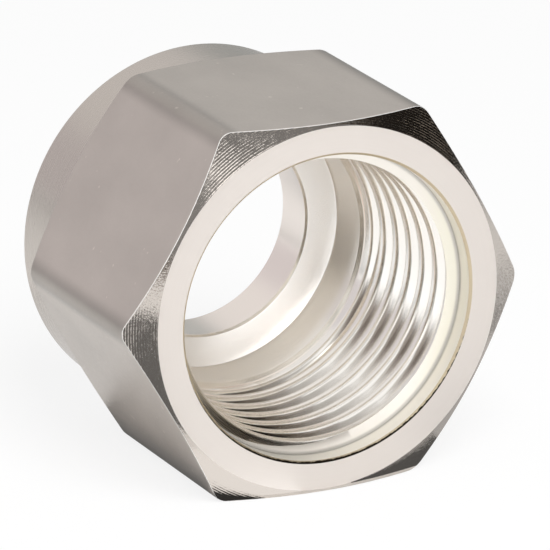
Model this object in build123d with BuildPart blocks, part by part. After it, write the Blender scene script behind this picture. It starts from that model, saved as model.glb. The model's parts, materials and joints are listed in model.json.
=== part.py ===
from build123d import *

import os
from math import cos, radians, tan

# Tube nut for a compression tube fitting: one turned piece of hexagon bar.
#
# The nut lies on one of its flats, with its axis level and its threaded mouth
# towards -Y.  Z is up.  The origin is on the resting flat, under the middle of
# the nut's length.  All sizes are in millimetres.

os.makedirs("parts", exist_ok=True)

# --- Hexagon bar -----------------------------------------------------------
across_flats = 17.4625  # 11/16 in spanner size
hex_corner_radius = 0.8  # drawn bar stock has rounded corners
overall_length = 14.2875  # 9/16 in, mouth face to rear face

# --- Turned outside --------------------------------------------------------
front_face_diameter = 17.14  # flat ring round the mouth
rear_hex_length = 11.08  # mouth face to where the collar starts
collar_diameter = 16.99  # round collar behind the hexagon
chamfer_angle = 30.0  # both hexagon ends, from square to the axis
collar_edge_break = 0.25  # 45 degree chamfer on the rear rim

# --- Mouth and thread bore -------------------------------------------------
thread_major_diameter = 14.2875  # 9/16-20 internal thread
thread_minor_diameter = 13.21  # the plain bore stands at the crests
mouth_clearance = 0.11  # mouth counterbore over the thread's major diameter
mouth_depth = 1.0
mouth_edge_break = 0.12
mouth_step_angle = 15.0  # counterbore floor, from square to the axis
thread_bore_depth = 9.15  # mouth face to the end of the thread and its run-out

# --- Ferrule pocket and tube bore ------------------------------------------
pocket_diameter = 12.9  # smooth bore that holds the ferrules
pocket_depth = 11.55  # mouth face to the root of the seat
pocket_root_radius = 0.2
seat_angle = 12.0  # ferrule seat, from square to the axis
tube_diameter = 9.525  # 3/8 in tube
tube_clearance = 0.4  # on the diameter
tube_edge_break = 0.1

# --- Worked out from the sizes above ---------------------------------------
axis_height = across_flats / 2
mouth_y = -overall_length / 2
rear_y = overall_length / 2

front_radius = front_face_diameter / 2
collar_radius = collar_diameter / 2
thread_radius = thread_minor_diameter / 2
mouth_radius = thread_major_diameter / 2 + mouth_clearance / 2
pocket_radius = pocket_diameter / 2
tube_radius = (tube_diameter + tube_clearance) / 2
corner_reach = across_flats / (2 * cos(radians(30)))  # sharp corner of the hexagon

chamfer_slope = tan(radians(chamfer_angle))
front_chamfer_length = (corner_reach - front_radius) * chamfer_slope
rear_chamfer_length = (corner_reach - collar_radius) * chamfer_slope
mouth_step_length = (mouth_radius - thread_radius) * tan(radians(mouth_step_angle))
thread_start_depth = mouth_depth + mouth_step_length
seat_width = pocket_radius - tube_radius - tube_edge_break
seat_end_depth = pocket_depth + seat_width * tan(radians(seat_angle))

across_axis = Plane(origin=(0, 0, axis_height), x_dir=(1, 0, 0), z_dir=(0, -1, 0))
along_axis = Plane(origin=(0, 0, axis_height), x_dir=(0, 1, 0), z_dir=(1, 0, 0))
nut_axis = Axis((0, 0, axis_height), (0, 1, 0))


def after_mouth(depth):
    """Place along the axis at a depth behind the mouth face."""
    return mouth_y + depth


with BuildPart() as tube_nut:
    # Hexagon bar, a flat underneath
    with BuildSketch(across_axis) as bar:
        RegularPolygon(across_flats / 2, 6, major_radius=False)
        fillet(bar.vertices(), hex_corner_radius)
    extrude(amount=overall_length / 2, both=True)

    # Turned outside: chamfered ends, and the round collar behind the hexagon
    with BuildSketch(along_axis) as outside:
        with BuildLine():
            Polyline(
                (mouth_y, 0),
                (mouth_y, front_radius),
                (after_mouth(front_chamfer_length), corner_reach),
                (after_mouth(rear_hex_length - rear_chamfer_length), corner_reach),
                (after_mouth(rear_hex_length), collar_radius),
                (rear_y - collar_edge_break, collar_radius),
                (rear_y, collar_radius - collar_edge_break),
                (rear_y, 0),
                close=True,
            )
        make_face()
    revolve(axis=nut_axis, mode=Mode.INTERSECT)

    # Bore: mouth counterbore, thread bore, ferrule pocket, seat and tube bore
    with BuildSketch(along_axis) as inside:
        with BuildLine():
            Polyline(
                (mouth_y, 0),
                (mouth_y, mouth_radius + mouth_edge_break),
                (after_mouth(mouth_edge_break), mouth_radius),
                (after_mouth(mouth_depth), mouth_radius),
                (after_mouth(thread_start_depth), thread_radius),
                (after_mouth(thread_bore_depth), thread_radius),
                (after_mouth(thread_bore_depth + thread_radius - pocket_radius), pocket_radius),
                (after_mouth(pocket_depth), pocket_radius),
                (after_mouth(seat_end_depth), tube_radius + tube_edge_break),
                (after_mouth(seat_end_depth + tube_edge_break), tube_radius),
                (rear_y - tube_edge_break, tube_radius),
                (rear_y, tube_radius + tube_edge_break),
                (rear_y, 0),
                close=True,
            )
        make_face()
    revolve(axis=nut_axis, mode=Mode.SUBTRACT)

    # The boring tool leaves a small radius at the root of the ferrule pocket
    pocket_rims = tube_nut.edges().filter_by(GeomType.CIRCLE)
    pocket_rims = pocket_rims.filter_by(lambda rim: abs(rim.radius - pocket_radius) < 0.001)
    fillet(pocket_rims.sort_by(Axis.Y)[-1], pocket_root_radius)

tube_nut.part.label = "tube_nut"
export_step(tube_nut.part, "parts/tube_nut.step")
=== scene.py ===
"""Tube nut of a compression tube fitting, lying on a pale floor.

The nut is one closed surface. Its section, a profile of depth along the axis
against distance from it, is carried once round the axis. Outside, the section
follows the hexagon, and in the mouth its rows climb with the thread.
"""

import json
import math

import bpy
import numpy as np
from bpy.props import (
    BoolProperty,
    FloatProperty,
    FloatVectorProperty,
    IntProperty,
    PointerProperty,
)
from mathutils import Matrix, Vector


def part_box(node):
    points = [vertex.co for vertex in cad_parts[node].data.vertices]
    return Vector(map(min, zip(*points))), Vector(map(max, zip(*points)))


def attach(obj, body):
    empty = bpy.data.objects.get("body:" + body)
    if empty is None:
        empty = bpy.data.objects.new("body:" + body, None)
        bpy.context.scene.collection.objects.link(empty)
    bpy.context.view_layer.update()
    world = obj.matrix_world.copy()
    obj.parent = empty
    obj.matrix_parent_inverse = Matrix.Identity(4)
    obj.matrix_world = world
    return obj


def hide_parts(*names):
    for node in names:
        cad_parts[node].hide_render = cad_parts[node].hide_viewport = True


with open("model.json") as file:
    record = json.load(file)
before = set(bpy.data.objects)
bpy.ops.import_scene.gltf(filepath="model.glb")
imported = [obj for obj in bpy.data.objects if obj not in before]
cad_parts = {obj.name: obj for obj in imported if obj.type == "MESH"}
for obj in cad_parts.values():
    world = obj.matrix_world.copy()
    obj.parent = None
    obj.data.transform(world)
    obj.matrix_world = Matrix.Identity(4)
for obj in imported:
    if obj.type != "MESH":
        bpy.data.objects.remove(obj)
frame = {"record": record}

bl_info = {
    "name": "Tube nut",
    "version": (1, 0, 0),
    "blender": (4, 5, 0),
    "location": "3D View > Sidebar > Tube nut",
    "description": "Builds a hexagonal compression tube nut and a studio to look at it in",
    "category": "Add Mesh",
}

MM = 0.001
NODE = "tube_nut"

low_corner, high_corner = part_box(NODE)
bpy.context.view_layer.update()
mount_radius = {
    mount["name"]: mount["dims"]["r_mm"] * MM
    for mount in frame["record"]["mounts"]
    if "r_mm" in mount["dims"]
}


# --- Sizes and colours that a user would change ------------------------------


class TubeNutSizes(bpy.types.PropertyGroup):
    """Sizes of the nut, along and across its axis."""

    across_flats: FloatProperty(
        name="Across flats",
        description="Width of the hexagon over two opposite flats",
        default=high_corner.z - low_corner.z,
        unit="LENGTH",
    )
    overall_length: FloatProperty(
        name="Overall length",
        description="From the mouth face to the rear face",
        default=high_corner.y - low_corner.y,
        unit="LENGTH",
    )
    corner_radius: FloatProperty(
        name="Hexagon corner radius",
        description="Rounding of the drawn bar's six corners",
        default=0.8 * MM,
        unit="LENGTH",
    )
    front_diameter: FloatProperty(
        name="Mouth face diameter",
        description="Outer diameter of the flat ring round the mouth",
        default=17.14 * MM,
        unit="LENGTH",
    )
    hexagon_length: FloatProperty(
        name="Hexagon length",
        description="From the mouth face to where the collar starts",
        default=11.08 * MM,
        unit="LENGTH",
    )
    collar_diameter: FloatProperty(
        name="Collar diameter",
        description="Diameter of the round collar behind the hexagon",
        default=16.99 * MM,
        unit="LENGTH",
    )
    chamfer_angle: FloatProperty(
        name="Chamfer angle",
        description="Slope of both turned chamfers, from square to the axis",
        default=math.radians(30),
        subtype="ANGLE",
    )
    collar_edge_break: FloatProperty(
        name="Collar edge break",
        description="Width of the chamfer on the rear rim",
        default=0.25 * MM,
        unit="LENGTH",
    )
    edge_softness: FloatProperty(
        name="Edge softness",
        description="Rounding where the turned chamfers meet the flats",
        default=0.07 * MM,
        unit="LENGTH",
    )


class TubeNutBore(bpy.types.PropertyGroup):
    """Sizes of the mouth, thread, ferrule pocket and tube bore."""

    thread_diameter: FloatProperty(
        name="Thread diameter",
        description="Diameter at the roots of the internal thread",
        default=14.2875 * MM,
        unit="LENGTH",
    )
    thread_pitch: FloatProperty(
        name="Thread pitch",
        description="Distance from one turn of the thread to the next",
        default=1.27 * MM,
        unit="LENGTH",
    )
    crest_radius: FloatProperty(
        name="Crest radius",
        description="Distance of the thread's crests from the axis",
        default=mount_radius["thread"],
        unit="LENGTH",
    )
    thread_end: FloatProperty(
        name="Thread end",
        description="Depth at which the last groove runs out",
        default=8.7 * MM,
        unit="LENGTH",
    )
    left_hand: BoolProperty(
        name="Left hand",
        description="The thread tightens anticlockwise",
        default=False,
    )
    mouth_clearance: FloatProperty(
        name="Mouth clearance",
        description="How much the mouth's counterbore is wider than the thread",
        default=0.11 * MM,
        unit="LENGTH",
    )
    mouth_depth: FloatProperty(
        name="Mouth depth",
        description="Depth of the mouth's counterbore",
        default=1.0 * MM,
        unit="LENGTH",
    )
    mouth_edge_break: FloatProperty(
        name="Mouth edge break",
        description="Width of the small chamfer on the mouth's edge",
        default=0.12 * MM,
        unit="LENGTH",
    )
    mouth_step_angle: FloatProperty(
        name="Mouth step angle",
        description="Slope of the counterbore's floor, from square to the axis",
        default=math.radians(15),
        subtype="ANGLE",
    )
    thread_bore_depth: FloatProperty(
        name="Thread bore depth",
        description="From the mouth face to the end of the thread's run-out",
        default=9.15 * MM,
        unit="LENGTH",
    )
    pocket_radius: FloatProperty(
        name="Pocket radius",
        description="Radius of the smooth bore that holds the ferrules",
        default=mount_radius["ferrule_pocket"],
        unit="LENGTH",
    )
    pocket_depth: FloatProperty(
        name="Pocket depth",
        description="From the mouth face to the root of the seat",
        default=11.55 * MM,
        unit="LENGTH",
    )
    pocket_root_radius: FloatProperty(
        name="Pocket root radius",
        description="Rounding that the boring tool leaves at the pocket's root",
        default=0.08 * MM,
        unit="LENGTH",
    )
    seat_angle: FloatProperty(
        name="Seat angle",
        description="Slope of the ferrule seat, from square to the axis",
        default=math.radians(12),
        subtype="ANGLE",
    )
    tube_radius: FloatProperty(
        name="Tube bore radius",
        description="Radius of the bore that the tube leaves through",
        default=mount_radius["tube_bore"],
        unit="LENGTH",
    )
    tube_edge_break: FloatProperty(
        name="Tube edge break",
        description="Width of the small chamfers on the tube bore",
        default=0.1 * MM,
        unit="LENGTH",
    )


class TubeNutFinish(bpy.types.PropertyGroup):
    """Colours of the metal and the fineness of the mesh."""

    steel_colour: FloatVectorProperty(
        name="Steel colour",
        description="Colour of the drawn flats, the turned chamfers and the collar",
        default=(0.58, 0.532, 0.488),
        subtype="COLOR",
        min=0.0,
        max=1.0,
    )
    plate_colour: FloatVectorProperty(
        name="Plate colour",
        description="Colour of the pale plate on the mouth face",
        default=(0.80, 0.745, 0.70),
        subtype="COLOR",
        min=0.0,
        max=1.0,
    )
    bore_colour: FloatVectorProperty(
        name="Bore colour",
        description="Colour of the bright plate on the thread",
        default=(0.96, 0.93, 0.885),
        subtype="COLOR",
        min=0.0,
        max=1.0,
    )
    columns_per_flat: IntProperty(
        name="Columns per flat",
        description="Steps round the axis along each flat",
        default=42,
    )
    columns_per_corner: IntProperty(
        name="Columns per corner",
        description="Steps round each rounded corner of the hexagon",
        default=8,
    )



# --- The surface -------------------------------------------------------------

SIXTH_TURN = math.radians(60)
GUARD_TURN = math.radians(0.3)


def corner_half_turn(sizes):
    """Half of the turn that one rounded corner of the hexagon takes up.

    It is 30 degrees less the arctangent of (half width - corner radius) x
    tan 30 over the half width.
    """
    half_width = sizes.across_flats / 2
    tangent_reach = (half_width - sizes.corner_radius) * math.tan(SIXTH_TURN / 2)
    return SIXTH_TURN / 2 - math.atan(tangent_reach / half_width)


def column_turns(sizes, finish):
    """Turns about the axis, in radians, of the mesh's columns.

    Each sixth of a turn starts at a rounded corner of the hexagon. Close columns
    lie on the corner's arc and wide ones on the flat, and on either side of the
    arc a first column of the flat stands close to it.
    """
    half_arc = corner_half_turn(sizes)
    start, end = half_arc + GUARD_TURN, SIXTH_TURN - half_arc - GUARD_TURN
    arc = np.linspace(-half_arc, half_arc, finish.columns_per_corner + 1)
    flat = np.linspace(start, end, finish.columns_per_flat)
    corners = np.arange(6)[:, None] * SIXTH_TURN
    return (corners + np.concatenate([arc, flat])[None, :]).ravel()


def hexagon_reach(turn, sizes):
    """Distance from the axis to the hexagon's outline at a turn.

    On a flat it is half the width over across flats divided by the cosine of the
    angle from the flat's middle. On a corner it is where the ray leaves a circle
    of the corner radius, whose centre lies on the corner's line at
    (half width - corner radius) / cos 30 from the axis.
    """
    half_width = sizes.across_flats / 2
    from_corner = np.abs((turn + SIXTH_TURN / 2) % SIXTH_TURN - SIXTH_TURN / 2)
    on_flat = half_width / np.cos(SIXTH_TURN / 2 - from_corner)
    centre = (half_width - sizes.corner_radius) / math.cos(SIXTH_TURN / 2)
    inside = sizes.corner_radius**2 - (centre * np.sin(from_corner)) ** 2
    on_corner = centre * np.cos(from_corner) + np.sqrt(np.maximum(inside, 0))
    return np.where(from_corner >= corner_half_turn(sizes), on_flat, on_corner)


# The groove's and its root's half widths are shares of the pitch, and the two
# eases are shares of a flank's height. CREST_START is the depth of the middle
# of a crest at turn zero, and RUN_OUT the length over which the thread fades.
GROOVE_HALF = 0.3075
ROOT_HALF = 1 / 16
CREST_EASE = 0.45
ROOT_EASE = 0.25
CREST_START = 1.112 * MM
RUN_OUT = 0.5 * MM


def eased(value, ease):
    """The value where it is positive and nought elsewhere, with a soft bend.

    From -ease to ease it is the square of (value + ease) over 4 x ease.
    """
    bend = (value + ease) ** 2 / (4 * ease)
    return np.where(np.abs(value) < ease, bend, np.maximum(value, 0))


def groove_shape(phase):
    """Depth of the thread's groove, from 0 at the crest to 1 at the root.

    Phase counts pitches from the middle of a crest. The flanks rise in a
    straight line between the edges of the crest and of the root, which is an
    eighth of the pitch wide, and a parabola eases the line into both.
    """
    from_groove = np.abs((phase % 1.0) - 0.5)
    line = (GROOVE_HALF - from_groove) / (GROOVE_HALF - ROOT_HALF)
    return 1 - eased(1 - eased(line, CREST_EASE), ROOT_EASE)


def hand_of(bore):
    """Which way the thread's depth goes as the turn grows: 1 if left-handed, else -1."""
    return 1 if bore.left_hand else -1


def thread_radius(depth, turn, bore):
    """Distance from the axis to the threaded wall at a depth and a turn.

    It is the crest radius plus the groove's height times the groove's shape,
    which climbs one pitch in each turn, and fades over the run-out's length by
    a smooth step before the thread's end.
    """
    height = bore.thread_diameter / 2 - bore.crest_radius
    phase = (depth - CREST_START) / bore.thread_pitch - hand_of(bore) * turn / math.tau
    left = np.clip((bore.thread_end - depth) / RUN_OUT, 0, 1)
    fade = left * left * (3 - 2 * left)
    return bore.crest_radius + height * fade * groove_shape(phase)


HALVINGS = 40


def mouth_radius(bore):
    """Radius of the mouth's counterbore."""
    return (bore.thread_diameter + bore.mouth_clearance) / 2


def thread_mouth(turn, bore):
    """Depth and radius where the counterbore's sloping floor meets the thread.

    The floor's radius falls in a straight line with depth and the thread's
    changes more slowly, so halving the interval finds the one place where both
    are equal, for all the columns at once.
    """
    widest = mouth_radius(bore)
    fall = 1 / math.tan(bore.mouth_step_angle)
    near = np.full_like(turn, bore.mouth_depth)
    far = near + (widest - bore.crest_radius) / fall + 0.001 * MM
    for _ in range(HALVINGS):
        middle = (near + far) / 2
        floor = widest - (middle - bore.mouth_depth) * fall
        before = floor > thread_radius(middle, turn, bore)
        near = np.where(before, middle, near)
        far = np.where(before, far, middle)
    return near, thread_radius(near, turn, bore)


# A rounding takes at most TANGENT_SHARE of the shorter run beside it. The row
# that ends it stands SUPPORT, or at most SUPPORT_SHARE of the run, further on.
ARC_STEPS = 5
TANGENT_SHARE = 0.3
SUPPORT = 0.05 * MM
SUPPORT_SHARE = 0.15


def rounded_corner(before, corner, after, rounding):
    """Rows of points that take the section round one corner.

    A sharp corner gives one row. Else the rows follow the arc that touches both
    runs at rounding x tan(half the turn) from the corner: each point is the
    arc's centre plus the two end spokes, weighted by the sines of the angles
    that are left and done, over the sine of the whole turn. A row at either
    end of the arc stands on the straight run and keeps the run's shading flat.
    """
    if rounding == 0:
        return corner[None]
    run_in, run_out = corner - before, after - corner
    long_in = np.linalg.norm(run_in, axis=-1, keepdims=True)
    long_out = np.linalg.norm(run_out, axis=-1, keepdims=True)
    run_in, run_out = run_in / long_in, run_out / long_out
    turn = np.arccos(np.clip((run_in * run_out).sum(-1, keepdims=True), -1, 1))
    longest = TANGENT_SHARE * np.minimum(long_in, long_out)
    tangent = np.minimum(rounding * np.tan(turn / 2), longest)
    radius = tangent / np.tan(turn / 2)
    inward = run_out - run_in
    inward = inward / np.linalg.norm(inward, axis=-1, keepdims=True)
    centre = corner + inward * radius / np.cos(turn / 2)
    spoke_in = corner - run_in * tangent - centre
    spoke_out = corner + run_out * tangent - centre
    share = np.linspace(0, 1, ARC_STEPS + 1)[:, None, None]
    arc = np.sin((1 - share) * turn) * spoke_in + np.sin(share * turn) * spoke_out
    arc = centre + arc / np.sin(turn)
    support_in = tangent + np.minimum(SUPPORT, SUPPORT_SHARE * long_in)
    support_out = tangent + np.minimum(SUPPORT, SUPPORT_SHARE * long_out)
    first = (corner - run_in * support_in)[None]
    last = (corner + run_out * support_out)[None]
    return np.concatenate([first, arc, last])


# Numbers of the finishes, in the order of nut_materials.
FLATS, CHAMFERS, COLLAR, PLATE, BORE, MOUTH_EDGE = range(6)
SEAT, TUBE, MOUTH, STEP, EDGE, POCKET, REAR_EDGE = range(6, 13)

FINE_ROUNDING = 0.03 * MM
FRONT_ROUNDING = 0.05 * MM
COLLAR_ROUNDING = 0.06 * MM


def section_corners(turn, sizes, bore):
    """Corners of the section, from the thread's mouth end round to its deep end.

    Returns their points, their roundings and the finish of the run after each.
    A point is a depth and a radius at every column.
    """
    slope = math.tan(sizes.chamfer_angle)
    reach = hexagon_reach(turn, sizes)
    front = sizes.front_diameter / 2
    collar = sizes.collar_diameter / 2
    length = sizes.overall_length
    mouth = mouth_radius(bore)
    mouth_edge = bore.mouth_edge_break
    tube_edge = bore.tube_edge_break
    tube = bore.tube_radius
    seat_width = bore.pocket_radius - tube - tube_edge
    seat_end = bore.pocket_depth + seat_width * math.tan(bore.seat_angle)
    shoulder_end = bore.thread_bore_depth + bore.crest_radius - bore.pocket_radius
    soft, fine = sizes.edge_softness, FINE_ROUNDING
    meeting_depth, meeting_radius = thread_mouth(turn, bore)
    corners = [
        (meeting_depth, meeting_radius, 0, STEP),
        (bore.mouth_depth, mouth, fine, MOUTH),
        (mouth_edge, mouth, fine, MOUTH_EDGE),
        (0, mouth + mouth_edge, fine, PLATE),
        (0, front, FRONT_ROUNDING, CHAMFERS),
        ((reach - front) * slope, reach, soft, FLATS),
        (sizes.hexagon_length - (reach - collar) * slope, reach, soft, CHAMFERS),
        (sizes.hexagon_length, collar, COLLAR_ROUNDING, COLLAR),
        (length - sizes.collar_edge_break, collar, COLLAR_ROUNDING, COLLAR),
        (length, collar - sizes.collar_edge_break, COLLAR_ROUNDING, COLLAR),
        (length, tube + tube_edge, fine, BORE),
        (length - tube_edge, tube, fine, TUBE),
        (seat_end + tube_edge, tube, fine, BORE),
        (seat_end, tube + tube_edge, fine, SEAT),
        (bore.pocket_depth, bore.pocket_radius, bore.pocket_root_radius, POCKET),
        (shoulder_end, bore.pocket_radius, fine, BORE),
        (bore.thread_bore_depth, bore.crest_radius, fine, BORE),
        (bore.thread_end, bore.crest_radius, 0, BORE),
    ]
    points = np.zeros((len(corners), len(turn), 2))
    for row, (depth, radius, _, _) in enumerate(corners):
        points[row, :, 0] = depth
        points[row, :, 1] = radius
    return points, [corner[2] for corner in corners], [corner[3] for corner in corners]


def plain_rows(turn, sizes, bore):
    """All rows of the section but the thread's, and the finish after each row.

    Where a chamfer meets the flats, two bands of the rounding between them get
    a finish of their own: a painted highlight at the front chamfer, a darker colour at the rear
    one.
    """
    points, roundings, finishes = section_corners(turn, sizes, bore)
    rows, kinds = [points[:1]], [finishes[0]]
    for place in range(1, len(points) - 1):
        around = points[place - 1], points[place], points[place + 1]
        corner = rounded_corner(*around, roundings[place])
        rows.append(corner)
        before, after = finishes[place - 1], finishes[place]
        half = len(corner) // 2
        kinds += [before] * half + [after] * (len(corner) - half)
        if {before, after} == {CHAMFERS, FLATS}:
            edge = EDGE if after == FLATS else REAR_EDGE
            kinds[-half - 2 : -half] = [edge, edge]
    rows.append(points[-1:])
    return np.concatenate(rows), np.array(kinds)


def thread_phases():
    """Phases within one pitch at which the thread gets a row, from a crest's middle."""
    flank = GROOVE_HALF - ROOT_HALF
    crest = GROOVE_HALF + flank * CREST_EASE * np.linspace(-1, 1, 6)
    root = ROOT_HALF + flank * ROOT_EASE * np.array([-0.3, 0.3, 1])
    from_groove = np.concatenate([crest, root])
    return np.sort(np.concatenate([[0.0, 0.5], 0.5 - from_groove, 0.5 + from_groove]))


SPARE_PITCHES = 2


def thread_rows(turn, bore):
    """Depth of every thread row at every column, and the rows in one pitch.

    A row keeps its phase, so its depth climbs by a pitch in a turn. Rows start
    two pitches before the mouth and end two pitches after the thread.
    """
    phases = thread_phases()
    first = math.floor((bore.mouth_depth - CREST_START) / bore.thread_pitch)
    last = math.ceil((bore.thread_end - CREST_START) / bore.thread_pitch)
    counts = np.arange(first - SPARE_PITCHES, last + SPARE_PITCHES)
    counts = (counts[:, None] + phases[None, :]).ravel()
    climb = hand_of(bore) * turn / math.tau
    depths = CREST_START + bore.thread_pitch * (counts[:, None] + climb[None, :])
    return depths, len(phases)


SNAP = 0.006 * MM


def thread_index(depths, plain, bore):
    """Number of the vertex of each thread row at each column, and which are its own.

    Where a row would pass one of the thread's ends, or come within SNAP of it,
    it takes the vertex of the plain row that bounds the thread there.
    """
    at_mouth = depths < plain[0, :, 0] + SNAP
    at_end = depths > bore.thread_end - SNAP
    own = ~(at_mouth | at_end)
    column = np.arange(plain.shape[1])
    index = np.zeros(depths.shape, int)
    index[own] = plain.shape[0] * plain.shape[1] + np.arange(own.sum())
    index = np.where(at_mouth, column, index)
    index = np.where(at_end, (plain.shape[0] - 1) * plain.shape[1] + column, index)
    return index, own


def nut_surface(sizes, bore, finish):
    """Vertices, faces and the finish of each face of the closed nut.

    A point at turn t, depth s and radius r stands at x = r cos t,
    y = s - half the length, z = axis height + r sin t. The plain rows close on
    themselves after a turn. The thread's rows close one pitch further on.
    """
    turn = column_turns(sizes, finish)
    plain, kinds = plain_rows(turn, sizes, bore)
    depths, per_pitch = thread_rows(turn, bore)
    index, own = thread_index(depths, plain, bore)
    thread_turn = np.broadcast_to(turn, depths.shape)
    radii = thread_radius(depths, thread_turn, bore)

    depth = np.concatenate([plain[:, :, 0].ravel(), depths[own]])
    radius = np.concatenate([plain[:, :, 1].ravel(), radii[own]])
    turns = np.concatenate([np.tile(turn, len(plain)), thread_turn[own]])
    x = radius * np.cos(turns)
    y = depth - sizes.overall_length / 2
    z = sizes.across_flats / 2 + radius * np.sin(turns)

    here = np.arange(len(plain) * len(turn)).reshape(len(plain), len(turn))
    beside = np.roll(here, -1, axis=1)
    quads = np.stack([here[:-1], here[1:], beside[1:], beside[:-1]], axis=-1)
    quad_kinds = np.repeat(kinds, len(turn))

    bands = len(depths)
    a_turn_on = np.clip(np.arange(bands) + hand_of(bore) * per_pitch, 0, bands - 1)
    beside = np.concatenate([index[:, 1:], index[a_turn_on, :1]], axis=1)
    turns_of_thread = np.stack([index[1:], index[:-1], beside[:-1], beside[1:]], axis=-1)
    turns_of_thread = turns_of_thread.reshape(-1, 4)

    faces = np.concatenate([quads.reshape(-1, 4), turns_of_thread])
    finishes = np.concatenate([quad_kinds, np.full(len(turns_of_thread), BORE)])
    return np.stack([x, y, z], axis=-1), faces, finishes


def without_repeats(faces, finishes):
    """Loop starts, loop totals, loop vertices and finishes of the faces that have area.

    A corner that names the same vertex as the corner before it is dropped, and
    a face that keeps fewer than three corners is dropped with its finish.
    """
    kept = faces != np.roll(faces, 1, axis=1)
    totals = kept.sum(axis=1)
    real = totals >= 3
    faces, kept, totals, finishes = faces[real], kept[real], totals[real], finishes[real]
    starts = np.concatenate([[0], np.cumsum(totals)[:-1]])
    return starts, totals, faces[kept], finishes


SHARP_ANGLE = math.radians(38)


def mesh_object(name, vertices, faces, finishes, materials):
    """A new object at the origin from arrays of vertices and four-cornered faces."""
    starts, totals, corners, finishes = without_repeats(faces, finishes)
    mesh = bpy.data.meshes.new(name)
    mesh.vertices.add(len(vertices))
    mesh.vertices.foreach_set("co", vertices.astype(np.float32).ravel())
    mesh.loops.add(len(corners))
    mesh.loops.foreach_set("vertex_index", corners.astype(np.int32))
    mesh.polygons.add(len(starts))
    mesh.polygons.foreach_set("loop_start", starts.astype(np.int32))
    mesh.polygons.foreach_set("loop_total", totals.astype(np.int32))
    for material in materials:
        mesh.materials.append(material)
    mesh.polygons.foreach_set("material_index", finishes.astype(np.int32))
    mesh.polygons.foreach_set("use_smooth", np.ones(len(starts), bool))
    mesh.update(calc_edges=True)
    if mesh.validate():
        raise RuntimeError(f"{name} has faces that Blender had to mend")
    mesh.set_sharp_from_angle(angle=SHARP_ANGLE)
    piece = bpy.data.objects.new(name, mesh)
    bpy.context.scene.collection.objects.link(piece)
    return piece


# --- Finishes ----------------------------------------------------------------

AXIS_HEIGHT = (high_corner.z + low_corner.z) / 2
EVENLY = (1, 1, 1)

# Nearly all of a noise lies between these two values.
NOISE_ENDS = (0.3, 0.7)


def node_in(tree, kind, **values):
    """A new node with its properties, and its inputs by name, set from values."""
    node = tree.nodes.new(kind)
    for key, value in values.items():
        if hasattr(node, key):
            setattr(node, key, value)
        else:
            node.inputs[key.replace("_", " ")].default_value = value
    return node


def connect(tree, value, socket):
    """Links the value to the socket if it is a socket itself, and else sets it there."""
    if isinstance(value, bpy.types.NodeSocket):
        tree.links.new(value, socket)
    else:
        socket.default_value = value


def computed(tree, operation, *values):
    """Result of a math node over sockets or numbers."""
    node = node_in(tree, "ShaderNodeMath", operation=operation)
    for socket, value in zip(node.inputs, values):
        connect(tree, value, socket)
    return node.outputs["Value"]


def vector_node(tree, operation, *values):
    """A vector math node over sockets or vectors."""
    node = node_in(tree, "ShaderNodeVectorMath", operation=operation)
    for socket, value in zip(node.inputs, values):
        connect(tree, value, socket)
    return node


def coordinates_of(tree, vector):
    """The three coordinates of a vector."""
    parts = node_in(tree, "ShaderNodeSeparateXYZ")
    tree.links.new(vector, parts.inputs["Vector"])
    return parts.outputs["X"], parts.outputs["Y"], parts.outputs["Z"]


def ranged(tree, value, ends, results, easing="LINEAR"):
    """The value carried from between its ends to between the results, and held there."""
    node = node_in(tree, "ShaderNodeMapRange", interpolation_type=easing)
    node.inputs["From Min"].default_value, node.inputs["From Max"].default_value = ends
    node.inputs["To Min"].default_value, node.inputs["To Max"].default_value = results
    tree.links.new(value, node.inputs["Value"])
    return node.outputs["Result"]


def eased_range(tree, value, ends, results):
    """The value carried from its ends to the results by a smooth step."""
    return ranged(tree, value, ends, results, "SMOOTHSTEP")


def colour_mix(tree, share, first, second):
    """Colour between two, each a colour or a socket, by a share from 0 to 1."""
    node = node_in(tree, "ShaderNodeMix", data_type="RGBA")
    tree.links.new(share, node.inputs[0])
    for colour, socket in ((first, node.inputs[6]), (second, node.inputs[7])):
        connect(tree, (*colour, 1) if isinstance(colour, tuple) else colour, socket)
    return node.outputs[2]


def streaks(tree, source, scale, detail, stretch=EVENLY):
    """Noise over the source, stretched by three factors, with values from 0 to 1."""
    stretched = vector_node(tree, "MULTIPLY", source, stretch).outputs["Vector"]
    noise = node_in(tree, "ShaderNodeTexNoise", Scale=scale, Detail=detail)
    tree.links.new(stretched, noise.inputs["Vector"])
    return noise.outputs["Fac"]


def bumped(tree, shader, pattern, height):
    """Raises the surface's shading by height times the pattern."""
    bump = node_in(tree, "ShaderNodeBump", Distance=height)
    tree.links.new(pattern, bump.inputs["Height"])
    tree.links.new(bump.outputs["Normal"], shader.inputs["Normal"])


def nut_place(tree):
    """The object's own coordinates, moved so that the nut's axis passes through zero."""
    coordinates = node_in(tree, "ShaderNodeTexCoord")
    place = node_in(tree, "ShaderNodeMapping", Location=(0, 0, -AXIS_HEIGHT))
    tree.links.new(coordinates.outputs["Object"], place.inputs["Vector"])
    return place.outputs["Vector"]


def turned_place(tree, place):
    """The vector (distance from the axis, depth, 0) of turned surfaces."""
    across = vector_node(tree, "MULTIPLY", place, (1, 0, 1)).outputs["Vector"]
    joined = node_in(tree, "ShaderNodeCombineXYZ")
    _, depth, _ = coordinates_of(tree, place)
    tree.links.new(vector_node(tree, "LENGTH", across).outputs["Value"], joined.inputs["X"])
    tree.links.new(depth, joined.inputs["Y"])
    return joined.outputs["Vector"]


def metal(name, colour, roughness, metallic=1.0):
    """A material with a metallic shader, and its tree and shader."""
    material = bpy.data.materials.new(name)
    material.use_nodes = True
    tree = material.node_tree
    shader = tree.nodes["Principled BSDF"]
    shader.inputs["Metallic"].default_value = metallic
    shader.inputs["Base Color"].default_value = (*colour, 1.0)
    shader.inputs["Roughness"].default_value = roughness
    return material, tree, shader


def even_metal(name, colour, roughness, metallic=1.0):
    """A metal without a pattern. Below 1, metallic mixes in a paint of the same colour."""
    return metal(name, colour, roughness, metallic)[0]
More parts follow.
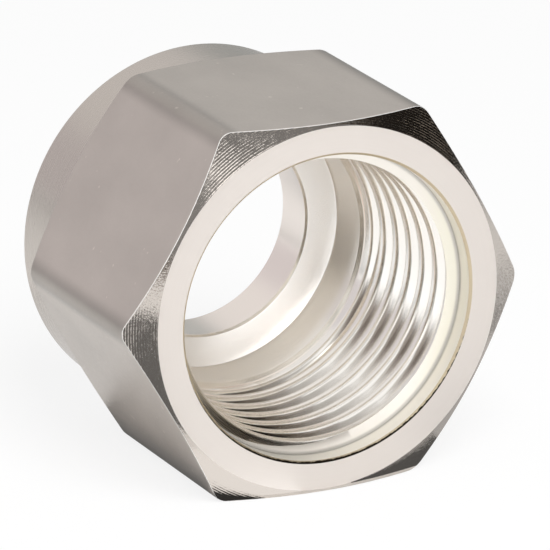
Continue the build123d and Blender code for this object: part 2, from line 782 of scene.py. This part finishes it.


# Distances from the axis between which painted shade darkens the hexagon's corners,
# and values of a noise between which a nick shows.
HEX_CORNER_SHADE = (9.62 * MM, 9.93 * MM)
NICK_PEAKS = (0.74, 0.80)


def drawn_steel(colour, roughness):
    """Satin drawn bar: faint streaks along the axis, painted shade on the corners and a few
    nicks.

    The colour is scaled by three factors: one of painted shade that falls towards the
    corners, one of wide clouds, and one that brightens the rare peaks of a fine noise.
    """
    material, tree, shader = metal("drawn_steel", colour, roughness)
    place = nut_place(tree)
    grain = streaks(tree, place, scale=9000, detail=3.0, stretch=(1, 0.5, 1))
    varied = ranged(tree, grain, NOISE_ENDS, (roughness - 0.04, roughness + 0.04))
    tree.links.new(varied, shader.inputs["Roughness"])
    bumped(tree, shader, grain, 0.0006 * MM)
    reach, _, _ = coordinates_of(tree, turned_place(tree, place))
    corner = eased_range(tree, reach, HEX_CORNER_SHADE, (1.0, 0.7))
    clouds = streaks(tree, place, scale=260, detail=5.0, stretch=(1, 0.6, 1))
    mottle = ranged(tree, clouds, NOISE_ENDS, (0.92, 1.08))
    specks = streaks(tree, place, scale=2600, detail=1.0)
    nicks = eased_range(tree, specks, NICK_PEAKS, (1.0, 1.3))
    shade = computed(tree, "MULTIPLY", computed(tree, "MULTIPLY", corner, mottle), nicks)
    tint = vector_node(tree, "SCALE", colour)
    tree.links.new(shade, tint.inputs["Scale"])
    tree.links.new(tint.outputs["Vector"], shader.inputs["Base Color"])
    return material


def turned_steel(name, colour, mark_pitch, mark_height, roughness):
    """Turned metal: fine rings about the axis, uneven from one to the next."""
    material, tree, shader = metal(name, colour, roughness)
    turned = turned_place(tree, nut_place(tree))
    marks = streaks(tree, turned, scale=1 / mark_pitch, detail=2.0)
    varied = ranged(tree, marks, NOISE_ENDS, (roughness * 0.8, roughness * 1.25))
    tree.links.new(varied, shader.inputs["Roughness"])
    bumped(tree, shader, marks, mark_height)
    return material


def feed_marked_steel(name, colour, feed, mark_height, roughness):
    """Faced metal: the tool's even spiral of grooves, cut deeper here than there.

    The grooves are a sine of the distance from the axis over the feed, times a
    noise that changes slowly round the face and quickly across it. A fine even
    grain, three times as high, lies over them and makes specks of its own.
    """
    material, tree, shader = metal(name, colour, roughness)
    place = nut_place(tree)
    reach, _, _ = coordinates_of(tree, turned_place(tree, place))
    wave = computed(tree, "SINE", computed(tree, "MULTIPLY", reach, math.tau / feed))
    cut = streaks(tree, place, scale=0.6 / feed, detail=3.0, stretch=(0.3, 1, 0.3))
    groove = computed(tree, "MULTIPLY", wave, ranged(tree, cut, NOISE_ENDS, (0.7, 1.0)))
    grain = streaks(tree, place, scale=1 / feed, detail=3.0)
    bumped(tree, shader, computed(tree, "MULTIPLY_ADD", grain, 3.0, groove), mark_height)
    specks = ranged(tree, grain, NOISE_ENDS, (roughness * 0.7, roughness * 1.3))
    tree.links.new(specks, shader.inputs["Roughness"])
    return material


# The first turn's dullness fades between two places along the axis. The painted
# dark reflection grows between two distances towards its side, and between two
# distances from the axis.
BORE_MARK_PITCH = 0.08 * MM
DULL_TURN = (low_corner.y + 1.5 * MM, low_corner.y + 2.2 * MM)
DARK_REFLECTION_SIDE = (-0.85, 0, -0.53)
DARK_REFLECTION_SPREAD = (4.0 * MM, 6.5 * MM)
DARK_REFLECTION_ROOT = (6.62 * MM, 6.76 * MM)
DARK_REFLECTION_COLOUR = (0.44, 0.375, 0.285)


def plated_bore(colour, roughness):
    """Bright plate of the thread and of the shoulders behind it.

    The first turn of the thread is duller, and a painted dark reflection, brown,
    lies in the thread's roots on one side, low down.
    """
    material, tree, shader = metal("plated_bore", colour, roughness)
    place = nut_place(tree)
    turned = turned_place(tree, place)
    marks = streaks(tree, turned, scale=1 / BORE_MARK_PITCH, detail=2.0)
    bumped(tree, shader, marks, 0.0001 * MM)
    even = ranged(tree, marks, NOISE_ENDS, (roughness * 0.92, roughness * 1.1))
    reach, depth, _ = coordinates_of(tree, turned)
    dull = eased_range(tree, depth, DULL_TURN, (1.8, 1.0))
    tree.links.new(computed(tree, "MULTIPLY", even, dull), shader.inputs["Roughness"])
    sideways = vector_node(tree, "DOT_PRODUCT", place, DARK_REFLECTION_SIDE).outputs["Value"]
    low_side = eased_range(tree, sideways, DARK_REFLECTION_SPREAD, (0, 0.9))
    root = eased_range(tree, reach, DARK_REFLECTION_ROOT, (0, 1))
    dark_reflection = computed(tree, "MULTIPLY", low_side, root)
    mixed = colour_mix(tree, dark_reflection, colour, DARK_REFLECTION_COLOUR)
    tree.links.new(mixed, shader.inputs["Base Color"])
    return material


# Where the counterbore meets its sloping floor, how far a line of painted shade
# reaches from there, and the places along X between which the side's colour sets in.
INNER_CORNER = (7.2 * MM, low_corner.y + 1.0 * MM, 0)
INNER_CORNER_SHADE_REACH = (0.04 * MM, 0.2 * MM)
INNER_CORNER_SHADE = 0.62
MOUTH_SIDE = (4.5 * MM, 6.8 * MM)


def mouth_metal(name, colour, side_colour, roughness, metallic=1.0):
    """Dull plate of the counterbore, with a line of painted shade along its inner corner.

    Its colour eases over to the side colour on the +X side.
    """
    material, tree, shader = metal(name, colour, roughness, metallic)
    place = nut_place(tree)
    sideways, _, _ = coordinates_of(tree, place)
    side = eased_range(tree, sideways, MOUTH_SIDE, (0, 1))
    unshaded = colour_mix(tree, side, colour, side_colour)
    gap = vector_node(tree, "DISTANCE", turned_place(tree, place), INNER_CORNER)
    away = eased_range(tree, gap.outputs["Value"], INNER_CORNER_SHADE_REACH, (0, 1))
    corner_shaded = tuple(part * INNER_CORNER_SHADE for part in colour)
    tree.links.new(colour_mix(tree, away, corner_shaded, unshaded), shader.inputs["Base Color"])
    return material


# The painted shade's start is a distance from the axis. It moves inwards by a share
# of the depth below the axis, and to and fro by a noise.
EDGE_SHADE_START = (7.39 * MM, 7.415 * MM)
EDGE_SHADE_DROP = -0.014
EDGE_SHADE_NOISE = 0.12 * MM


def shaded_mouth_edge(unshaded, edge_shade_colour, roughness):
    """The mouth's edge: painted shade that is wide below and thin above, with a ragged rim."""
    material, tree, shader = metal("shaded_mouth_edge", unshaded, roughness)
    place = nut_place(tree)
    reach, _, _ = coordinates_of(tree, turned_place(tree, place))
    _, _, height = coordinates_of(tree, place)
    lowered = computed(tree, "MULTIPLY_ADD", height, EDGE_SHADE_DROP, reach)
    noise = streaks(tree, place, scale=4500, detail=3.0)
    ragged = computed(tree, "MULTIPLY_ADD", noise, EDGE_SHADE_NOISE, lowered)
    edge_shaded = eased_range(tree, ragged, EDGE_SHADE_START, (0, 1))
    tree.links.new(colour_mix(tree, edge_shaded, unshaded, edge_shade_colour), shader.inputs["Base Color"])
    return material


def nut_materials(finish):
    """The nut's finishes, in the order of the section's numbers for them."""
    steel, plate = tuple(finish.steel_colour), tuple(finish.plate_colour)
    mouth = (1.0, 0.97, 0.885)
    return [
        drawn_steel(steel, roughness=0.34),
        feed_marked_steel(
            "turned_chamfer", steel, feed=0.105 * MM, mark_height=0.003 * MM, roughness=0.15
        ),
        turned_steel(
            "turned_collar", steel, mark_pitch=0.05 * MM, mark_height=0.0007 * MM, roughness=0.26
        ),
        turned_steel(
            "plated_face", plate, mark_pitch=0.06 * MM, mark_height=0.003 * MM, roughness=0.45
        ),
        plated_bore(tuple(finish.bore_colour), roughness=0.15),
        # Painted shade along the mouth's edge: black and wide below, thin above.
        shaded_mouth_edge((0.68, 0.58, 0.42), (0.03, 0.024, 0.016), roughness=0.45),
        even_metal("plated_seat", (0.99, 0.965, 0.94), roughness=0.26),
        even_metal("tube_bore", (0.92, 0.85, 0.795), roughness=0.24),
        mouth_metal("mouth_bore", mouth, mouth, roughness=0.32, metallic=0.65),
        mouth_metal("mouth_step", (0.93, 0.885, 0.82), (0.91, 0.875, 0.76), roughness=0.42),
        # A painted highlight on the rounding between the front chamfer and the flats.
        even_metal("painted_highlight_edge", (0.86, 0.85, 0.83), roughness=0.5, metallic=0.5),
        even_metal("plated_pocket", (0.99, 0.955, 0.9), roughness=0.2, metallic=0.75),
        even_metal("rear_edge", (0.36, 0.34, 0.33), roughness=0.5),
    ]


# --- The stage ---------------------------------------------------------------

FLOOR_WIDTH = 1200 * MM
CARD_DISTANCE = 160 * MM
CARD_POINTS = 9
FLAG = (0.016, 0.014, 0.012)

# Cards on a sphere about the nut: the ends of their azimuths, from +Y towards
# +X, and of their elevations, in degrees, and their colours.
ROUND_CARDS = {
    "right_flag": ((101, 124), (0, 41), FLAG),
    "right_middle_flag": ((124, 143), (14, 41), FLAG),
    "side_flag": ((86, 101), (9, 41), FLAG),
    "right_side_card": ((124, 143), (0, 14), (0.42, 0.38, 0.33)),
    "seat_side_card": ((143, 156), (0, 14), (0.3, 0.27, 0.23)),
    "upper_side_card": ((143, 156), (14, 22), (0.25, 0.22, 0.19)),
    "upper_right_card": ((108, 147), (41, 54), (0.11, 0.09, 0.07)),
    "upper_middle_card": ((147, 174), (42, 54), (0.33, 0.3, 0.27)),
    "front_card": ((143, 158), (22, 42), (0.13, 0.11, 0.09)),
    "middle_card": ((158, 170), (23, 42), (0.27, 0.25, 0.23)),
    "upper_front_card": ((170, 182), (27, 42), (0.45, 0.43, 0.41)),
    "high_front_card": ((182, 192), (27, 42), (0.62, 0.6, 0.58)),
    "camera_card": ((192, 208), (-4, 14), (0.13, 0.105, 0.09)),
    "camera_side_card": ((208, 228), (2, 20), (0.33, 0.29, 0.26)),
    "over_camera_card": ((192, 208), (14, 20), (0.3, 0.26, 0.24)),
    "high_camera_card": ((192, 214), (20, 28), (0.6, 0.57, 0.54)),
    "front_glow": ((172, 190), (0, 22), (2.2, 2.2, 2.2)),
    "right_front_glow": ((156, 172), (0, 22), (1.6, 1.6, 1.6)),
    "left_glow": ((250, 285), (8, 42), (1.8, 1.8, 1.8)),
    "back_left_card": ((-75, 0), (1, 23), (0.69, 0.655, 0.67)),
    "back_right_card": ((0, 75), (1, 23), (0.43, 0.447, 0.442)),
    "upper_back_card": ((-75, 75), (23, 45), (0.84, 0.82, 0.81)),
}

# Flat cards close to the nut: their middles and their two whole edges, in
# millimetres, and how bright a grey they are.
NEAR_CARDS = {
    "over_chamfer_card": ((-1.5, -12.5, 22), (13, 0, 0), (0, -1.5, 6.5), 0.28),
    "left_chamfer_card": ((-9.3, -12, 16), (5.5, 0, 0), (0, -1, 7), 0.34),
    "left_near_card": ((-10.9, -10.4, 4.85), (-3.8, -4.2, 6.7), (3.0, -2.7, 0), 0.2),
    "left_floor_card": ((-4.3, -8.1, 0.2), (6.2, 0, 0), (0, 2.5, 0), 1.3),
    # Painted shadow: the nut's contact shadow on the floor under its front left edge.
    "corner_shadow_card": ((-3.3, -6.4, 0.03), (4.4, 0, 0), (0, 0.8, 0), 0.05),
    # Painted shadow: the nut's contact shadow on the floor under its front right edge.
    "contact_shadow_card": ((4.4, -6.5, 0.2), (6.2, 0, 0), (0, 1.4, 0), 0.13),
    "low_right_card": ((10.9, -7.5, 0.2), (7.2, 0, 0), (0, 10, 0), 0.6),
    "bright_right_card": ((17.5, -7.5, 0.2), (6, 0, 0), (0, 10, 0), 0.72),
    "dark_right_card": ((25, -7.5, 0.2), (9, 0, 0), (0, 10, 0), 0.42),
    "far_right_card": ((37, -7.5, 0.2), (15, 0, 0), (0, 12, 0), 0.64),
    # Painted shadow: the floor in shade under the overhang of the lower left flat.
    "under_left_shadow_card": ((-5.5, 2.5, 0.2), (1.0, 0, 0), (0, 16, 0), 0.22),
    # Painted light: a lit patch of floor behind the nut, where the lamp casts shadow.
    "back_left_painted_light": ((-8, 12, 0.2), (10, 0, 0), (0, 13, 0), 0.8),
}


def sheet_corners(middle, along, across):
    """Corners of a flat sheet: its middle, plus and minus half of each whole edge."""
    shares = np.array([(-0.5, -0.5), (0.5, -0.5), (0.5, 0.5), (-0.5, 0.5)])
    return np.array(middle) + shares[:, :1] * np.array(along) + shares[:, 1:] * np.array(across)


def background_share(tree, to_camera, to_reflection):
    """How much of the even white a ray gets: one share for camera rays, one for the rest.

    The rest are the rays from a mirror and through a clear piece.
    """
    path = node_in(tree, "ShaderNodeLightPath").outputs
    other = computed(tree, "MAXIMUM", path["Is Glossy Ray"], path["Is Transmission Ray"])
    reflected = computed(tree, "MULTIPLY", other, to_reflection)
    return computed(tree, "MULTIPLY_ADD", path["Is Camera Ray"], to_camera, reflected)


def pale_floor():
    """A wide white floor that still takes the nut's shadow."""
    material = bpy.data.materials.new("pale_floor")
    material.use_nodes = True
    tree = material.node_tree
    shader = tree.nodes["Principled BSDF"]
    shader.inputs["Base Color"].default_value = (0.9, 0.9, 0.9, 1)
    shader.inputs["Roughness"].default_value = 0.9
    shader.inputs["Specular IOR Level"].default_value = 0.0
    glow = node_in(tree, "ShaderNodeEmission", Color=(1, 1, 1, 1), Strength=1.0)
    mixed = node_in(tree, "ShaderNodeMixShader")
    tree.links.new(background_share(tree, 0.85, 0.0), mixed.inputs["Fac"])
    tree.links.new(shader.outputs["BSDF"], mixed.inputs[1])
    tree.links.new(glow.outputs["Emission"], mixed.inputs[2])
    tree.links.new(mixed.outputs["Shader"], tree.nodes["Material Output"].inputs["Surface"])
    vertices = sheet_corners((0, 0, 0), (FLOOR_WIDTH, 0, 0), (0, FLOOR_WIDTH, 0))
    floor = mesh_object(
        "pale_floor", vertices, np.array([[0, 1, 2, 3]]), np.zeros(1, int), [material]
    )


def studio_world(strength):
    """White all round for the camera and for reflections, softer as light."""
    world = bpy.data.worlds.new("studio_world")
    bpy.context.scene.world = world
    world.use_nodes = True
    tree = world.node_tree
    light = tree.nodes["Background"]
    light.inputs["Color"].default_value = (1, 1, 1, 1)
    light.inputs["Strength"].default_value = strength
    seen = node_in(tree, "ShaderNodeBackground", Color=(1, 1, 1, 1), Strength=1.0)
    mixed = node_in(tree, "ShaderNodeMixShader")
    tree.links.new(background_share(tree, 1.0, 1.0), mixed.inputs["Fac"])
    tree.links.new(light.outputs["Background"], mixed.inputs[1])
    tree.links.new(seen.outputs["Background"], mixed.inputs[2])
    tree.links.new(mixed.outputs["Shader"], tree.nodes["World Output"].inputs["Surface"])


def reflection_card(name, vertices, faces, colour):
    """An evenly bright surface that only the metal's reflections see."""
    material = bpy.data.materials.new(name)
    material.use_nodes = True
    tree = material.node_tree
    brightness = max(colour)
    even = tuple(part / brightness for part in colour)
    glow = node_in(tree, "ShaderNodeEmission", Color=(*even, 1), Strength=brightness)
    tree.links.new(glow.outputs["Emission"], tree.nodes["Material Output"].inputs["Surface"])
    card = mesh_object(name, vertices, faces, np.zeros(len(faces), int), [material])
    card.visible_camera = False
    card.visible_diffuse = False
    card.visible_transmission = False
    card.visible_shadow = False


def round_card(name, azimuths, elevations, colour):
    """A curved card whose points lie on a sphere about the nut's middle.

    The azimuths and the elevations run in even steps between their two ends.
    """
    across = np.radians(np.linspace(*azimuths, CARD_POINTS))
    upward = np.radians(np.linspace(*elevations, CARD_POINTS))
    across, upward = np.meshgrid(across, upward)
    level = np.cos(upward)
    points = [np.sin(across) * level, np.cos(across) * level, np.sin(upward)]
    points = np.stack(points, axis=-1).reshape(-1, 3)
    vertices = points * CARD_DISTANCE + np.array((0, 0, AXIS_HEIGHT))
    number = np.arange(CARD_POINTS**2).reshape(CARD_POINTS, CARD_POINTS)
    corners = [number[:-1, :-1], number[:-1, 1:], number[1:, 1:], number[1:, :-1]]
    faces = np.stack(corners, axis=-1).reshape(-1, 4)
    reflection_card(name, vertices, faces, colour)


def near_card(name, middle, along, across, grey):
    """A flat grey card close to the nut, measured in millimetres."""
    vertices = sheet_corners(middle, along, across) * MM
    reflection_card(name, vertices, np.array([[0, 1, 2, 3]]), (grey, grey, grey))


def direction(azimuth, elevation):
    """Unit vector at an azimuth from +Y towards +X, and an elevation, in degrees."""
    a, e = math.radians(azimuth), math.radians(elevation)
    return Vector((math.sin(a) * math.cos(e), math.cos(a) * math.cos(e), math.sin(e)))


def soft_lamp(name, azimuth, elevation, distance, size, power):
    """A square soft lamp that looks at the nut and isn't mirrored in it."""
    lamp = bpy.data.lights.new(name, "AREA")
    lamp.shape = "SQUARE"
    lamp.size = size
    lamp.energy = power
    holder = bpy.data.objects.new(name, lamp)
    bpy.context.scene.collection.objects.link(holder)
    outward = direction(azimuth, elevation)
    holder.location = Vector((0, 0, AXIS_HEIGHT)) + outward * distance
    holder.rotation_mode = "QUATERNION"
    holder.rotation_quaternion = outward.to_track_quat("Z", "Y")
    holder.visible_glossy = False


VIEW_AZIMUTH = 207.443
VIEW_ELEVATION = 18.840
VIEW_ROLL = 0.852
VIEW_DISTANCE = 323.9 * MM
VIEW_TARGET = (0.662 * MM, -0.543 * MM, 8.212 * MM)
VIEW_LENS = 463.95


def nut_camera():
    """A long lens that looks down into the mouth from the left."""
    data = bpy.data.cameras.new("nut_camera")
    data.lens = VIEW_LENS
    data.sensor_width = 36
    data.clip_start, data.clip_end = 10 * MM, 5000 * MM
    camera = bpy.data.objects.new("nut_camera", data)
    bpy.context.scene.collection.objects.link(camera)
    outward = direction(VIEW_AZIMUTH, VIEW_ELEVATION)
    level = outward.to_track_quat("Z", "Y").to_matrix().to_4x4()
    roll = Matrix.Rotation(math.radians(VIEW_ROLL), 4, "Z")
    place = Matrix.Translation(Vector(VIEW_TARGET) + outward * VIEW_DISTANCE)
    camera.matrix_world = place @ level @ roll
    bpy.context.scene.camera = camera


# --- Operators and panel -----------------------------------------------------


class TUBENUT_OT_nut(bpy.types.Operator):
    """Build the tube nut's detailed surface over its solid"""

    bl_idname = "tube_nut.nut"
    bl_label = "Tube nut"

    def execute(self, context):
        scene = context.scene
        sizes, bore, finish = scene.nut_sizes, scene.nut_bore, scene.nut_finish
        vertices, faces, finishes = nut_surface(sizes, bore, finish)
        piece = mesh_object("nut_body", vertices, faces, finishes, nut_materials(finish))
        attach(piece, "root")
        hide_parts(NODE)
        return {"FINISHED"}


class TUBENUT_OT_stage(bpy.types.Operator):
    """Build the floor, the studio light, the cards and the camera"""

    bl_idname = "tube_nut.stage"
    bl_label = "Stage"

    def execute(self, context):
        context.scene.view_settings.view_transform = "Standard"
        context.scene.cycles.glossy_bounces = 10
        pale_floor()
        studio_world(strength=0.45)
        for name, values in ROUND_CARDS.items():
            round_card(name, *values)
        for name, values in NEAR_CARDS.items():
            near_card(name, *values)
        soft_lamp("front_lamp", 190, 50, distance=300 * MM, size=160 * MM, power=0.85)
        nut_camera()
        return {"FINISHED"}


class TUBENUT_PT_panel(bpy.types.Panel):
    """Sizes, colours and steps of the tube nut."""

    bl_idname = "TUBENUT_PT_panel"
    bl_label = "Tube nut"
    bl_space_type = "VIEW_3D"
    bl_region_type = "UI"
    bl_category = "Tube nut"

    def draw(self, context):
        layout = self.layout
        for group in (context.scene.nut_sizes, context.scene.nut_bore, context.scene.nut_finish):
            box = layout.box()
            for name in group.__annotations__:
                box.prop(group, name)
        for operator in (TUBENUT_OT_nut, TUBENUT_OT_stage):
            layout.operator(operator.bl_idname)


CLASSES = (
    TubeNutSizes,
    TubeNutBore,
    TubeNutFinish,
    TUBENUT_OT_nut,
    TUBENUT_OT_stage,
    TUBENUT_PT_panel,
)


def register():
    """Adds the classes and the scene's settings."""
    for kind in CLASSES:
        bpy.utils.register_class(kind)
    bpy.types.Scene.nut_sizes = PointerProperty(type=TubeNutSizes)
    bpy.types.Scene.nut_bore = PointerProperty(type=TubeNutBore)
    bpy.types.Scene.nut_finish = PointerProperty(type=TubeNutFinish)


def unregister():
    """Removes the settings and the classes."""
    del bpy.types.Scene.nut_finish
    del bpy.types.Scene.nut_bore
    del bpy.types.Scene.nut_sizes
    for kind in reversed(CLASSES):
        bpy.utils.unregister_class(kind)


def main():
    """Registers the add-on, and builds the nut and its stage."""
    register()
    bpy.ops.tube_nut.nut()
    bpy.ops.tube_nut.stage()


if __name__ == "__main__":
    main()
